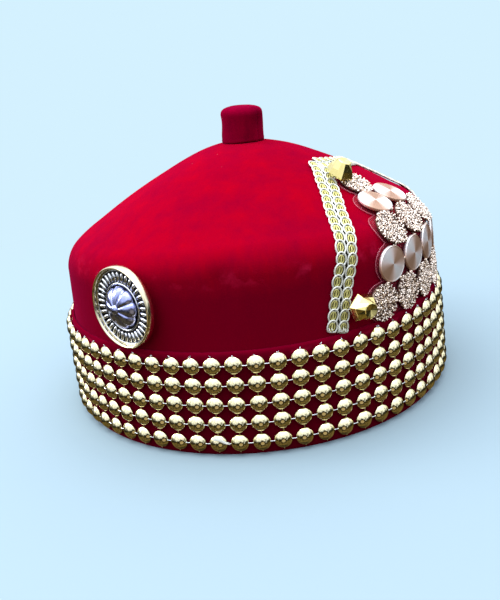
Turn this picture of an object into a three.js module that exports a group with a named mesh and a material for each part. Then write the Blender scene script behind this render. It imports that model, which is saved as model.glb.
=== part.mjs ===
// Chieftaincy cap: a peaked velvet cap with a stalk, a cuff of five bead rows, a metallic braid laid as an
// inverted V round a triangular patch of discs, and a round medallion on one side.
// Millimetres, +Z up, the rim stands on z = 0. The front faces -Y and the medallion is on the -X side.
import * as THREE from "three";

// Driving dimensions
const AROUND = 48; // facets round the head
const GAP = 0.3; // clearance between pieces that touch

const CROWN = {
  halfLength: 97.8, // front to back, at the foot
  halfWidth: 94.2,
  wall: 2, // velvet over a stiffened lining
  taperShare: 0.015, // how much the wall draws in below the shoulder
  ridge: 89.8, // lowest height that the shoulder would reach as a full quarter round
  saddle: 9.9, // how much higher the shoulder is at the two sides
  saddleTurn: THREE.MathUtils.degToRad(27),
  frontRise: 5.2, // how much of that dip the stiff patch fills at the front
  shoulderRadius: 15.8,
  shoulderBend: THREE.MathUtils.degToRad(58),
  shoulderSpread: 100, // length that turns the shoulder's radius into a share of the oval
  peak: 128.9,
  peakForward: 4.9,
  peakBlunt: 0.5, // 0 is a sharp cone, larger is a rounder top
};
const CUFF = {
  height: 51.2,
  halfLength: 100,
  halfWidth: 96.5,
  midHeight: 26,
  taper: 0.0225, // how much it draws in for each millimetre up
  edgeRadius: 1.2,
};
const BEADS = { rows: 5, pitch: 9.66, diameter: 8.4, depth: 3.4 };
const STALK = {
  radius: 10.8,
  height: 16.8,
  puff: 0.4,
  aside: 4.1, // from the middle plane to the far side
  forward: 3.9,
  leanForward: 1.1,
  facets: 24,
};

const PATCH = { footTurn: 2.2, footClimb: 60, drift: -0.045, filmLow: 0.5, filmHigh: 1 };
const DISC = { diameter: 17, pitch: 18, edge: 1.2, dome: 0.7, facets: 18 };
const DISC_ROWS = [
  { climb: 59.6, count: 5, shift: 0, tip: 0, finish: "glitter" },
  { climb: 75.8, count: 4, shift: 0, tip: 0, finish: "smooth" },
  { climb: 90.6, count: 3, shift: -1.2, tip: 0, finish: "glitter" },
  { climb: 105.5, count: 2, shift: -0.6, tip: THREE.MathUtils.degToRad(6), finish: "smooth" },
  { climb: 120.9, count: 1, shift: -1.2, tip: 0, finish: "glitter" },
];
// The clear film under the discs: half its width at each distance up the crown
const FILM_EDGE = [
  { climb: 52, half: 46 },
  { climb: 56, half: 50 },
  { climb: 64, half: 50 },
  { climb: 68, half: 43 },
  { climb: 75.6, half: 38 },
  { climb: 81, half: 35 },
  { climb: 86, half: 32 },
  { climb: 90.6, half: 29.5 },
  { climb: 97, half: 26 },
  { climb: 105.8, half: 20.5 },
  { climb: 114, half: 14.5 },
  { climb: 121, half: 9.8 },
  { climb: 126, half: 7 },
  { climb: 130, half: 3 },
];
const FILM_COLUMNS = 10;

const NUGGET = { radius: 7.3, height: 8, topRadius: 3.9, shankRadius: 3.5, facets: 6 };
const NUGGET_PLACES = [
  { name: "nugget_near", side: -50, climb: 62 },
  { name: "nugget_top", side: -6, climb: 128 },
];

const BRAID = { halfWidth: 5.5, low: 0.5, high: 2, steps: 18 };
// The middle of a leg, from the cuff to the tip of the V: turns round the crown, and distances up it.
// The far leg lies a little wider.
const BRAID_ROUTE = [
  { degrees: 38, wider: 1, climb: 52.3 },
  { degrees: 34.2, wider: 3, climb: 73.6 },
  { degrees: 32, wider: 5, climb: 83 },
  { degrees: 30.5, wider: 10, climb: 90.4 },
  { degrees: 23.9, wider: 20, climb: 111.8 },
  { degrees: 14.4, wider: 25, climb: 128.5 },
  { degrees: 0, wider: 0, climb: 143 },
];
const BRAID_TIP_SLANT = THREE.MathUtils.degToRad(51);

const MEDALLION = {
  degrees: -94.9,
  climb: 71.9,
  swing: THREE.MathUtils.degToRad(5.8), // turned towards the back
  raise: 0.6,
  radius: 19.6,
  rimWidth: 2.4,
  rimHeight: 4.4,
  floor: 1.4,
  ringInner: 11.2,
  ringOuter: 16.6,
  ringHeight: 1.6,
  ringRise: 0.9,
  ringBars: 24,
  rosetteRadius: 10.4,
  rosetteHeight: 5.6,
  petals: 8,
  petalDepth: 0.9,
  facets: 32,
};

// Finishes
function finish(color, roughness, metalness) {
  return new THREE.MeshStandardMaterial({ color, roughness, metalness });
}
const VELVET = () => finish(0xb0001f, 0.95, 0);
const GOLD_BEAD = () => finish(0xb7ab5a, 0.3, 0.9);
const BRAID_METAL = () => finish(0xdcdcb4, 0.45, 0.7);
const FILM = () => finish(0xc9808a, 0.3, 0);
const SATIN_DISC = () => finish(0xc99a7a, 0.3, 0.85);
const GLITTER_DISC = () => finish(0xd9c7a0, 0.5, 0.8);
const GOLD = () => finish(0xd0a53a, 0.22, 1);
const SILVER = () => finish(0xc4c6cc, 0.25, 1);

const cap = new THREE.Group();

function addPiece(name, geometry, material) {
  const piece = new THREE.Mesh(geometry, material);
  piece.name = name;
  cap.add(piece);
  return piece;
}

// Rings of equal length joined in turn. Each ring runs anticlockwise seen from above, and the rings go
// down the outside first. With two poles the ends close to points. Without them the last ring joins the first.
function loft(rings, poles) {
  const count = rings[0].length;
  const points = rings.flat();
  const faces = [];
  const joins = poles ? rings.length - 1 : rings.length;
  for (let i = 0; i < joins; i++) {
    const upper = i * count;
    const lower = ((i + 1) % rings.length) * count;
    for (let j = 0; j < count; j++) {
      const next = (j + 1) % count;
      faces.push(upper + j, lower + j, lower + next, upper + j, lower + next, upper + next);
    }
  }
  if (poles) {
    const last = (rings.length - 1) * count;
    const first = points.push(poles[0]) - 1;
    const end = points.push(poles[1]) - 1;
    for (let j = 0; j < count; j++) {
      const next = (j + 1) % count;
      faces.push(first, j, next, end, last + next, last + j);
    }
  }
  return bodyOf(points, faces);
}

function bodyOf(points, faces) {
  const geometry = new THREE.BufferGeometry().setFromPoints(points);
  geometry.setIndex(faces);
  geometry.computeVertexNormals();
  return geometry;
}

// A point of an oval ring. Turn 0 is the front, and turns grow towards +X.
function ovalPoint(turn, halfLength, halfWidth, height, forward = 0) {
  return new THREE.Vector3(halfWidth * Math.sin(turn), -halfLength * Math.cos(turn) - forward, height);
}

function ovalRing(pointAt, count = AROUND) {
  return Array.from({ length: count }, (_, j) => pointAt((2 * Math.PI * j) / count));
}

// How far the roof has risen, from 0 at the shoulder to 1 at the peak, at a share of the shoulder's oval
function roofRise(share) {
  const blunt = CROWN.peakBlunt;
  return (Math.hypot(1, blunt) - Math.hypot(share, blunt)) / (Math.hypot(1, blunt) - blunt);
}

// The height that the shoulder would reach as a full quarter round
function ridgeHeight(turn) {
  const away = turn - CROWN.saddleTurn;
  const front = CROWN.frontRise * Math.max(0, Math.cos(away)) ** 4;
  return CROWN.ridge + CROWN.saddle * Math.sin(away) ** 2 + front;
}

// The crown's profile at one turn, from the foot to the peak. An inset gives the lining's side of the wall.
function crownProfile(turn, inset, shoulderSteps, roofShares) {
  const ridge = ridgeHeight(turn);
  const radius = CROWN.shoulderRadius - inset;
  const stations = [
    { scale: 1, height: 0 },
    { scale: 1, height: CUFF.height },
  ];
  for (let i = 0; i <= shoulderSteps; i++) {
    const bend = (CROWN.shoulderBend * i) / shoulderSteps;
    stations.push({
      scale: 1 - CROWN.taperShare - (radius / CROWN.shoulderSpread) * (1 - Math.cos(bend)),
      height: ridge - CROWN.shoulderRadius + radius * Math.sin(bend),
    });
  }
  const eaves = stations[stations.length - 1];
  const peak = CROWN.peak - inset;
  for (const share of roofShares) {
    stations.push({
      scale: eaves.scale * share,
      height: eaves.height + (peak - eaves.height) * roofRise(share),
    });
  }
  return stations.map(({ scale, height }) => {
    const lean = THREE.MathUtils.clamp((height - ridge) / (peak - ridge), 0, 1) * CROWN.peakForward;
    const halfLength = scale * (CROWN.halfLength - inset);
    const halfWidth = scale * (CROWN.halfWidth - inset);
    return ovalPoint(turn, halfLength, halfWidth, height, lean);
  });
}

// The point of the crown's velvet at a turn, and at a distance up the velvet from the rim
const FINE_ROOF = Array.from({ length: 60 }, (_, i) => 1 - (i + 1) / 60);
function crownPoint(turn, climb) {
  const profile = crownProfile(turn, 0, 24, FINE_ROOF);
  let left = climb;
  for (let i = 1; i < profile.length; i++) {
    const step = profile[i].distanceTo(profile[i - 1]);
    if (left <= step) return profile[i - 1].clone().lerp(profile[i], left / step);
    left -= step;
  }
  return profile[profile.length - 1];
}

// The crown's surface frame at a place: the point, the outward normal, and the directions round and up
function crownFrame(turn, climb) {
  const point = crownPoint(turn, climb);
  const round = crownPoint(turn + 0.002, climb).sub(crownPoint(turn - 0.002, climb));
  const perRadian = round.length() / 0.004;
  round.normalize();
  const up = crownPoint(turn, climb + 0.5).sub(crownPoint(turn, climb - 0.5)).normalize();
  const normal = round.clone().cross(up).normalize();
  return { point, round, up, normal, perRadian };
}

function lifted(turn, climb, lift) {
  const { point, normal } = crownFrame(turn, climb);
  return point.addScaledVector(normal, lift);
}

// The turn that lies a distance to the side of the front plane, at a distance up the crown
function turnAcross(side, climb) {
  let turn = 0;
  for (let i = 0; i < 6; i++) turn = side / crownFrame(turn / 2, climb).perRadian;
  return turn;
}

function patchMiddle(climb) {
  return PATCH.footTurn + PATCH.drift * (climb - PATCH.footClimb);
}

// Seats a piece whose foot is its own z = 0 plane on the crown, with its y axis up the crown
function seat(piece, turn, climb, lift, tip = 0, swing = 0) {
  const { normal, up } = crownFrame(turn, climb);
  const side = up.clone().cross(normal).normalize();
  const rise = normal.clone().cross(side);
  piece.quaternion.setFromRotationMatrix(new THREE.Matrix4().makeBasis(side, rise, normal));
  piece.rotateX(-tip);
  piece.rotateY(-swing);
  piece.position.copy(lifted(turn, climb, lift));
}

// A turned piece with its axis upright
function turned(profile, facets) {
  const points = profile.map(([radius, height]) => new THREE.Vector2(radius, height));
  return new THREE.LatheGeometry(points, facets).rotateX(Math.PI / 2);
}

// A closed sheet laid on the crown over a grid of places, from one lift to another
function sheet(grid, low, high) {
  const rows = grid.length;
  const columns = grid[0].length;
  const places = grid.flat();
  const points = [high, low].flatMap((lift) => places.map(({ turn, climb }) => lifted(turn, climb, lift)));
  const under = rows * columns;
  const faces = [];
  const quad = (a, b, c, d) => faces.push(a, b, c, a, c, d);
  for (let i = 0; i + 1 < rows; i++) {
    for (let j = 0; j + 1 < columns; j++) {
      const [a, b] = [i * columns + j, i * columns + j + 1];
      const [c, d] = [b + columns, a + columns];
      quad(a, b, c, d);
      quad(under + d, under + c, under + b, under + a);
    }
    const [left, right] = [i * columns, (i + 1) * columns - 1];
    quad(left, left + columns, under + left + columns, under + left);
    quad(right + columns, right, under + right, under + right + columns);
  }
  for (let j = 0; j + 1 < columns; j++) {
    const top = (rows - 1) * columns + j;
    quad(j + 1, j, under + j, under + j + 1);
    quad(top, top + 1, under + top + 1, under + top);
  }
  return bodyOf(points, faces);
}

// Crown: a hollow shell, open below, from the peak down the velvet and back up the lining
function buildCrown() {
  const shares = [0.82, 0.62, 0.42, 0.25, 0.12, 0.05];
  const outside = crownRings(0, shares).reverse();
  const inside = crownRings(CROWN.wall, shares);
  const tips = [0, CROWN.wall].map((inset) => ovalPoint(0, 0, 0, CROWN.peak - inset, CROWN.peakForward));
  addPiece("crown", loft([...outside, ...inside], tips), VELVET());
}

function crownRings(inset, shares) {
  const profiles = ovalRing((turn) => crownProfile(turn, inset, 4, shares));
  return profiles[0].map((_, i) => profiles.map((profile) => profile[i]));
}

// Cuff: a band round the crown's wall, thicker at the foot, with rounded edges
function cuffPoint(turn, height, out) {
  const draw = -CUFF.taper * (height - CUFF.midHeight) + out;
  return ovalPoint(turn, CUFF.halfLength + draw, CUFF.halfWidth + draw, height);
}

function buildCuff() {
  const edge = CUFF.edgeRadius;
  const outer = [
    [CUFF.height, -edge * 0.7],
    [CUFF.height - edge * 0.3, -edge * 0.25],
    [CUFF.height - edge, 0],
    [edge * 0.5, 0],
    [0, -edge * 0.5],
  ].map(([height, out]) => ovalRing((turn) => cuffPoint(turn, height, out)));
  const inner = [0, CUFF.height].map((height) =>
    ovalRing((turn) => ovalPoint(turn, CROWN.halfLength + GAP, CROWN.halfWidth + GAP, height)),
  );
  addPiece("cuff", loft([...outer, ...inner]), VELVET());
}

// Bead rows: each string of half-round beads is one ring with a flat back against the cuff
function buildBeadRows() {
  const half = BEADS.diameter / 2;
  const section = [
    [0.95, 0],
    [0.98, 0.3],
    [0.7, 0.78],
    [0.26, 1],
    [-0.26, 1],
    [-0.7, 0.78],
    [-0.98, 0.3],
    [-0.95, 0],
  ];
  for (let row = 0; row < BEADS.rows; row++) {
    const middle = CUFF.midHeight + BEADS.pitch * ((BEADS.rows - 1) / 2 - row);
    const rings = section.map(([rise, out]) =>
      ovalRing((turn) => cuffPoint(turn, middle + rise * half, GAP + out * BEADS.depth)),
    );
    addPiece(`bead_row_${row + 1}`, loft(rings), GOLD_BEAD());
  }
}

// The height of the velvet near the peak, above a point of the plan
function topHeight(x, y) {
  const turn = Math.atan2(x / CROWN.halfWidth, -(y + CROWN.peakForward) / CROWN.halfLength);
  const roof = crownProfile(turn, 0, 24, FINE_ROOF);
  const away = (point) => Math.hypot(point.x, point.y + CROWN.peakForward);
  const wanted = Math.hypot(x, y + CROWN.peakForward);
  const inner = roof.findIndex((point) => away(point) <= wanted);
  if (inner < 0) return CROWN.peak;
  const share = (away(roof[inner - 1]) - wanted) / (away(roof[inner - 1]) - away(roof[inner]));
  return roof[inner - 1].clone().lerp(roof[inner], share).z;
}

// Stalk: a padded stub on the peak, whose foot follows the rounded top
function buildStalk() {
  const foot = CROWN.peak;
  const at = (turn, radius, rise) => {
    const lean = STALK.forward + STALK.leanForward * rise;
    const point = ovalPoint(turn, radius, radius, foot + STALK.height * rise, lean);
    return point.setX(point.x + STALK.aside);
  };
  const onVelvet = (point) => point.setZ(topHeight(point.x, point.y) + GAP);
  const sides = [
    { rise: 0.98, radius: 0.55 },
    { rise: 0.92, radius: 0.84 },
    { rise: 0.82, radius: 0.97 },
    { rise: 0.5, radius: 1 },
    { rise: 0.14, radius: 1.02 },
  ].map(({ rise, radius }) => ovalRing((turn) => at(turn, STALK.radius * radius, rise), STALK.facets));
  const under = [1, 0.55].map((radius) =>
    ovalRing((turn) => onVelvet(at(turn, STALK.radius * radius, 0)), STALK.facets),
  );
  const tip = at(0, 0, 1 + STALK.puff / STALK.height);
  addPiece("stalk", loft([...sides, ...under], [tip, onVelvet(at(0, 0, 0))]), VELVET());
}

// Patch: a clear film with fifteen discs on it, in rows that step back by half a disc
function buildPatch() {
  const grid = FILM_EDGE.map(({ climb, half }) =>
    Array.from({ length: FILM_COLUMNS + 1 }, (_, j) => {
      const side = patchMiddle(climb) + half * ((2 * j) / FILM_COLUMNS - 1);
      return { turn: turnAcross(side, climb), climb };
    }),
  );
  addPiece("patch_film", sheet(grid, PATCH.filmLow, PATCH.filmHigh), FILM());

  const radius = DISC.diameter / 2;
  const profile = [
    [0, 0],
    [radius * 0.97, 0],
    [radius, DISC.edge * 0.5],
    [radius * 0.96, DISC.edge],
    [radius * 0.5, DISC.edge + DISC.dome * 0.8],
    [0, DISC.edge + DISC.dome],
  ];
  DISC_ROWS.forEach(({ climb, count, shift, tip, finish: look }, row) => {
    for (let n = 0; n < count; n++) {
      const side = patchMiddle(climb) + shift + DISC.pitch * (n - (count - 1) / 2);
      const material = look === "smooth" ? SATIN_DISC() : GLITTER_DISC();
      const disc = addPiece(`disc_${row + 1}_${n + 1}`, turned(profile, DISC.facets), material);
      seat(disc, turnAcross(side, climb), climb, PATCH.filmHigh + GAP + radius * Math.sin(tip), tip);
    }
  });
}

// Nuggets: faceted studs at two corners of the patch. The lower one stands on a shank beside the braid.
function buildNuggets() {
  const discTop = DISC.edge + DISC.dome + GAP;
  const head = [
    [NUGGET.radius * 0.9, discTop],
    [NUGGET.radius, discTop + 1],
    [NUGGET.radius * 0.86, discTop + NUGGET.height * 0.5],
    [NUGGET.topRadius, discTop + NUGGET.height - 0.5],
    [NUGGET.topRadius * 0.85, discTop + NUGGET.height],
    [0, discTop + NUGGET.height],
  ];
  const shank = [
    [0, 0],
    [NUGGET.shankRadius, 0],
    [NUGGET.shankRadius, discTop],
  ];
  for (const { name, side, climb } of NUGGET_PLACES) {
    const foot = name === "nugget_top" ? [[0, discTop]] : shank;
    const nugget = addPiece(name, turned([...foot, ...head], NUGGET.facets), GOLD());
    seat(nugget, turnAcross(patchMiddle(climb) + side, climb), climb, PATCH.filmHigh + GAP);
  }
}

// Braid: two legs that meet over the patch, each a flat strap across the crown
function braidGrid(mirror) {
  const middle = (climb) => turnAcross(patchMiddle(climb), climb);
  const legMiddle = BRAID_ROUTE.map(({ degrees, wider, climb }) => {
    const away = degrees + (mirror < 0 ? wider : 0);
    return new THREE.Vector3(THREE.MathUtils.degToRad(-away), climb, 0);
  });
  const route = new THREE.CatmullRomCurve3(legMiddle, false, "catmullrom", 0.3);
  const tip = BRAID_ROUTE[BRAID_ROUTE.length - 1];
  const { steps } = BRAID;
  const rows = [];
  for (let i = 0; i < steps; i++) {
    const along = (i / steps) * 0.97;
    const here = route.getPoint(along);
    const ahead = route.getPoint(along + 0.002);
    const { perRadian } = crownFrame(here.x, here.y);
    const course = new THREE.Vector2((ahead.x - here.x) * perRadian, ahead.y - here.y).normalize();
    rows.push(
      [1, 0, -1].map((edge) => ({
        turn: here.x - (edge * BRAID.halfWidth * course.y) / perRadian,
        climb: Math.max(here.y + edge * BRAID.halfWidth * course.x, BRAID_ROUTE[0].climb),
      })),
    );
  }
  const seam = (BRAID.halfWidth / Math.sin(BRAID_TIP_SLANT)) * 1.02;
  rows.push(
    [1, 0, -1].map((edge) => {
      const climb = tip.climb + edge * seam;
      return { turn: -GAP / 2 / crownFrame(0, climb).perRadian, climb };
    }),
  );
  return rows.map((row) => {
    const places = row.map(({ turn, climb }) => ({ turn: middle(climb) + mirror * turn, climb }));
    return mirror > 0 ? places : places.reverse();
  });
}

function buildBraid() {
  addPiece("braid_near", sheet(braidGrid(1), BRAID.low, BRAID.high), BRAID_METAL());
  addPiece("braid_far", sheet(braidGrid(-1), BRAID.low, BRAID.high), BRAID_METAL());
}

// Medallion: a gold cup with a raised rim, a silver ring of small bars in it, and a domed rosette
function buildMedallion() {
  const { radius, rimWidth, rimHeight, floor } = MEDALLION;
  const cup = [
    [0, 0],
    [radius - 0.6, 0],
    [radius, 0.8],
    [radius, rimHeight - 1],
    [radius - 0.7, rimHeight],
    [radius - rimWidth + 0.6, rimHeight],
    [radius - rimWidth, rimHeight - 0.9],
    [radius - rimWidth, floor],
    [0, floor],
  ];
  const turn = THREE.MathUtils.degToRad(MEDALLION.degrees);
  const place = (piece, lift) => {
    seat(piece, turn, MEDALLION.climb, GAP + MEDALLION.raise, 0, MEDALLION.swing);
    piece.translateZ(lift);
  };
  place(addPiece("medallion_rim", turned(cup, MEDALLION.facets), GOLD()), 0);

  const { ringInner, ringOuter, ringHeight, ringRise, ringBars } = MEDALLION;
  const bars = (distance, height) =>
    Array.from({ length: 2 * ringBars }, (_, j) => {
      const raised = j % 2 === 0 && height > 0 ? ringRise : 0;
      return ovalPoint((Math.PI * j) / ringBars, distance, distance, height + raised);
    });
  const ring = loft([
    bars(ringInner + 0.6, ringHeight),
    bars(ringOuter - 0.6, ringHeight),
    bars(ringOuter, 0),
    bars(ringInner, 0),
  ]);
  place(addPiece("medallion_ring", ring, SILVER()), floor + GAP);

  const { rosetteRadius, rosetteHeight, petals, petalDepth, facets } = MEDALLION;
  const petalRing = ({ share, rise }) =>
    ovalRing((angle) => {
      const cleft = petalDepth * (1 - Math.abs(Math.cos((petals * angle) / 2)));
      const lobe = (rosetteRadius - cleft) * share;
      return ovalPoint(angle, lobe, lobe, rosetteHeight * rise);
    }, facets);
  const rosette = loft(
    [
      { share: 0.3, rise: 0.97 },
      { share: 0.6, rise: 0.84 },
      { share: 0.85, rise: 0.56 },
      { share: 1, rise: 0.18 },
      { share: 1, rise: 0 },
    ].map(petalRing),
    [new THREE.Vector3(0, 0, rosetteHeight), new THREE.Vector3(0, 0, 0)],
  );
  place(addPiece("medallion_rosette", rosette, SILVER()), floor + GAP);
}

buildCrown();
buildCuff();
buildBeadRows();
buildStalk();
buildPatch();
buildNuggets();
buildBraid();
buildMedallion();

export default cap;
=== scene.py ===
# Chieftaincy cap: velvet crown, cuff and stalk, bead rows, braid, disc patch, studs and side ornament.
# Lengths in the tables and functions are millimetres in the frame's axes; meshes are made in metres.
# A turn is an angle round the cap from the front, and a climb is a distance up the velvet from the rim.
import math
import random

import bpy
import numpy as np
from mathutils import Matrix, Vector, noise


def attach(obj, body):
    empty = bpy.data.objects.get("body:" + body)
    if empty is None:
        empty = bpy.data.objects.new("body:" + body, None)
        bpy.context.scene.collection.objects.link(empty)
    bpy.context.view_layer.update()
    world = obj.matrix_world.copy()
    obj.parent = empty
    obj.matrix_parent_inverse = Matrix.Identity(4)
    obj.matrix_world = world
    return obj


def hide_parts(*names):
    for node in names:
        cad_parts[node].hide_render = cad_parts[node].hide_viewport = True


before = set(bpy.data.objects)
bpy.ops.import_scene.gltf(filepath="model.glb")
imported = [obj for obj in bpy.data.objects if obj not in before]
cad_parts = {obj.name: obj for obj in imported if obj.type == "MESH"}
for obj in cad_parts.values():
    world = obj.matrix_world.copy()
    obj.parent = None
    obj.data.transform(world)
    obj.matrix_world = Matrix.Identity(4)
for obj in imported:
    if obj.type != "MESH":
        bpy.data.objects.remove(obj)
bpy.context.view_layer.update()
MM = 0.001
GAP = 0.3
random.seed(7)

# Crown
HALF_LENGTH = 97.8
HALF_WIDTH = 94.2
WALL = 2.0
TAPER_SHARE = 0.015
RIDGE = 89.8
SADDLE = 9.9
SADDLE_TURN = math.radians(27)  # the line along which the shoulder is lowest
FRONT_RISE = 5.2
SHOULDER_RADIUS = 15.8
SHOULDER_BEND = math.radians(58)
SHOULDER_SPREAD = 100.0
PEAK = 128.9
PEAK_FORWARD = 4.9
PEAK_BLUNT = 0.5
VELVET_STEPS = 300
ROOF_START = 30  # a point of the crown's profile, just inside the eaves
DIMPLE_TURN = math.radians(-66)
DIMPLE_CLIMB = 84.0
DIMPLE_DEPTH = 1.5
DIMPLE_SPREAD = 6.0

# Stalk
STALK_RADIUS = 10.8
STALK_HEIGHT = 16.8
STALK_ASIDE = 4.1
STALK_FORWARD = 3.9
STALK_LEAN = 1.1
STALK_SEAM = math.radians(-11)
STALK_DROOP = 0.055
STALK_DROOP_TURN = math.radians(33)

# Cuff and bead rows
CUFF_HEIGHT = 51.2
CUFF_HALF_LENGTH = 100.0
CUFF_HALF_WIDTH = 96.5
CUFF_MIDDLE = 26.0
CUFF_TAPER = 0.0225
BEAD_ROWS = 5
BEADS_ROUND = 62
BEAD_ROW_PITCH = 9.66
BEAD_RADIUS = 4.25
BEAD_DEPTH = 3.4
BEAD_SLOPE = math.radians(55)
BEAD_SIDES = 30
BEAD_START = 5.30  # columns from the near side to the first bead, towards the front
BEAD_ROW_SLIP = 0.043  # columns that each lower row falls back
LINK_LIFT = 1.7
POST_LIFT = 1.3

# Patch and braid
PATCH_FOOT_SHIFT = 2.2
PATCH_FOOT_CLIMB = 60.0
PATCH_DRIFT = -0.045
FILM_LOW = 0.5
FILM_HIGH = 1.0
FILM_FOOT = 51.8
FILM_TOP = 131.0
FILM_MARGIN = 0.9
FILM_WIDEST = 46.0
DISC_RADIUS = 8.5
DISC_PITCH = 18.0
DISC_THICK = 1.95
DISC_DOME = 0.6
DISC_GROOVES = 26
GROOVES_REACH = 7.7
GRAINS = 280
GRAINS_REACH = 8.9
GOLDEN_TURN = 2.39996
DISC_ROWS = [
    {"climb": 59.6, "count": 5, "shift": 0.0, "tip": 0, "smooth": False},
    {"climb": 75.8, "count": 4, "shift": 0.0, "tip": 0, "smooth": True},
    {"climb": 90.6, "count": 3, "shift": -1.2, "tip": 0, "smooth": False},
    {"climb": 105.5, "count": 2, "shift": -0.6, "tip": 6, "smooth": True},
    {"climb": 120.9, "count": 1, "shift": -1.2, "tip": 0, "smooth": False},
]
NUGGETS = [
    {"name": "nugget_near", "side": -50.0, "climb": 62.0, "spin": 15, "size": 1.0},
    {"name": "nugget_top", "side": -6.0, "climb": 128.0, "spin": 10, "size": 0.95},
]
STUD_FOOT = 2.2
STUD_LEVELS = [
    {"radius": 3.1, "height": 8.15, "sides": 12},
    {"radius": 3.5, "height": 7.95, "sides": 12},
    {"radius": 6.0, "height": 4.4, "sides": 6},
    {"radius": 7.2, "height": 1.6, "sides": 6},
    {"radius": 6.9, "height": 0.8, "sides": 6},
    {"radius": 5.6, "height": 0.0, "sides": 6},
]
BRAID_PITCH = 5.2
BRAID_COLUMN = 2.7
BRAID_LOOP = {"across": 2.75, "half": 2.35, "lift": 1.25, "thread": 0.42}
BRAID_CORE = {"across": 2.8, "half": 1.3, "lift": 1.05, "thread": 0.4}
BRAID_ROUTE = [
    {"degrees": 38.0, "wider": 1.0, "climb": 52.3},
    {"degrees": 34.2, "wider": 3.0, "climb": 73.6},
    {"degrees": 32.0, "wider": 5.0, "climb": 83.0},
    {"degrees": 30.5, "wider": 10.0, "climb": 90.4},
    {"degrees": 23.9, "wider": 20.0, "climb": 111.8},
    {"degrees": 14.4, "wider": 25.0, "climb": 128.5},
    {"degrees": 0.0, "wider": 0.0, "climb": 143.0},
]
CAUGHT_THREAD = {"degrees": -72.4, "run": 4.2, "height": 10.3, "fall": 2.4}

# Side ornament
MEDALLION = {"degrees": -94.9, "climb": 71.9, "swing": 5.8, "raise": 0.6, "radius": 19.6}
BARS = 34
ROSETTE_RADIUS = 10.2
ROSETTE_RISE = 5.4
ROSETTE_PETALS = 8

# Stage, lamps and camera
BACKDROP = (0.66, 0.88, 1.0)
PAPER = (0.25, 0.335, 0.385)
FLOOR_REACH = 12.0
CARD_COURSE = (-0.783, -0.508, -0.358)  # from the cap to the middle of the lit card
LAMPS = [
    {"name": "overhead", "at": (-0.1, 0.15, 1.35), "size": 1.6, "watts": 16},
    {"name": "back_left", "at": (-0.45, 1.2, 0.55), "size": 0.6, "watts": 9},
]
CAMERA_AROUND = math.radians(-57)
CAMERA_ABOVE = math.radians(20.955)
CAMERA_ROLL = math.radians(-7.139)
CAMERA_DISTANCE = 0.480
CAMERA_LENS = 51.4
CAMERA_SHIFT = (-0.00973, 0.0423)


# Shader maths


class Wire:
    """A shader socket that takes part in sums."""

    def __init__(self, graph, socket):
        self.graph = graph
        self.socket = socket

    def sum(self, operation, *values):
        return self.graph.sum_of(operation, *values)

    def __add__(self, other):
        return self.sum("ADD", self, other)

    def __radd__(self, other):
        return self.sum("ADD", other, self)

    def __sub__(self, other):
        return self.sum("SUBTRACT", self, other)

    def __rsub__(self, other):
        return self.sum("SUBTRACT", other, self)

    def __mul__(self, other):
        return self.sum("MULTIPLY", self, other)

    def __rmul__(self, other):
        return self.sum("MULTIPLY", other, self)

    def __truediv__(self, other):
        return self.sum("DIVIDE", self, other)

    def __rtruediv__(self, other):
        return self.sum("DIVIDE", other, self)

    def __pow__(self, other):
        return self.sum("POWER", self, other)

    def __rpow__(self, other):
        return self.sum("POWER", other, self)


class Graph:
    """The nodes of a material or of the world, with one method that makes any of them."""

    def __init__(self, owner):
        owner.use_nodes = True
        self.tree = owner.node_tree
        self.tree.nodes.clear()

    def node(self, kind, settings=None, inputs=None, output=0):
        made = self.tree.nodes.new("ShaderNode" + kind)
        for key, value in (settings or {}).items():
            if key == "stops":
                set_stops(made.color_ramp, value)
            else:
                setattr(made, key, value)
        for key, value in (inputs or {}).items():
            if isinstance(value, Wire):
                self.tree.links.new(value.socket, made.inputs[key])
            else:
                made.inputs[key].default_value = value
        return Wire(self, made.outputs[output])

    def sum_of(self, operation, *values):
        return self.node("Math", {"operation": operation}, dict(enumerate(values)))

    def ramp(self, value, stops):
        return self.node("ValToRGB", {"stops": stops}, {"Fac": value})

    def mix(self, factor, one, other):
        return self.node("Mix", {"data_type": "RGBA"}, {0: factor, 6: one, 7: other}, 2)

    def axis(self, place, number):
        return self.node("SeparateXYZ", inputs={"Vector": place}, output=number)

    def finish_with(self, kind, shader):
        out = self.tree.nodes.new("ShaderNodeOutput" + kind)
        self.tree.links.new(shader.socket, out.inputs["Surface"])


class Finish(Graph):
    """A material, laid out by the piece's own axes."""

    def __init__(self, name):
        self.material = bpy.data.materials.new(name)
        super().__init__(self.material)
        self.place = self.node("TexCoord", output="Object")

    def noise(self, per_mm, detail=3.0, rough=0.55, place=None):
        at = {"Vector": place or self.place, "Scale": per_mm / MM, "Detail": detail, "Roughness": rough}
        return self.node("TexNoise", inputs=at)

    def bump(self, height, distance_mm, strength=1.0):
        at = {"Height": height, "Distance": distance_mm * MM, "Strength": strength}
        return self.node("Bump", inputs=at)

    def surface(self, **inputs):
        named = {key.replace("_", " "): value for key, value in inputs.items()}
        self.finish_with("Material", self.node("BsdfPrincipled", inputs=named))
        return self.material


def set_stops(ramp, stops):
    while len(ramp.elements) < len(stops):
        ramp.elements.new(0.5)
    for element, (position, color) in zip(ramp.elements, stops):
        element.position = position
        element.color = color if len(color) == 4 else (*color, 1)


def grey(level):
    return (level, level, level, 1)


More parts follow.
